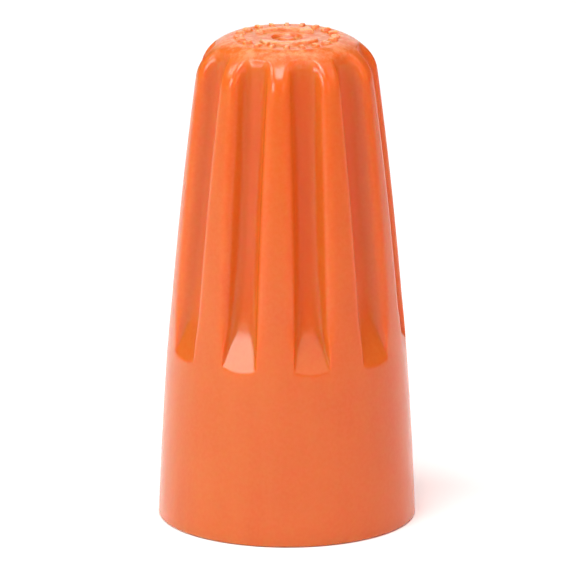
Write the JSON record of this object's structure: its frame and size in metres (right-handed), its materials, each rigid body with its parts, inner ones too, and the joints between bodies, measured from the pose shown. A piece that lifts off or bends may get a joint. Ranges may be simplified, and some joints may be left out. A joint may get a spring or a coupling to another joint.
{
  "type": "twist wire connector",
  "caption": "Twist-on wire connector: fluted, tapered insulating shell with a smooth skirt, and a conical square-wire spring inside that grips twisted conductors.",
  "frame": {"origin": "centre of the open mouth's rim plane, which the connector stands on", "axes": "+Z along the connector's axis, towards the closed end; -Y faces the viewer, with the first flute 12.3 degrees from -Y towards +X"},
  "size_m": [0.0116, 0.0116, 0.0224],
  "materials": {
    "shell_plastic": "semi-gloss moulded orange polypropylene, slightly translucent at thin edges",
    "spring_steel": "drawn square steel wire with thin bright zinc plating and fine lines along its length"
  },
  "bodies": {
    "root": {"insulating_shell": "shell_plastic", "gripping_spring": "spring_steel"}
  },
  "joints": []
}
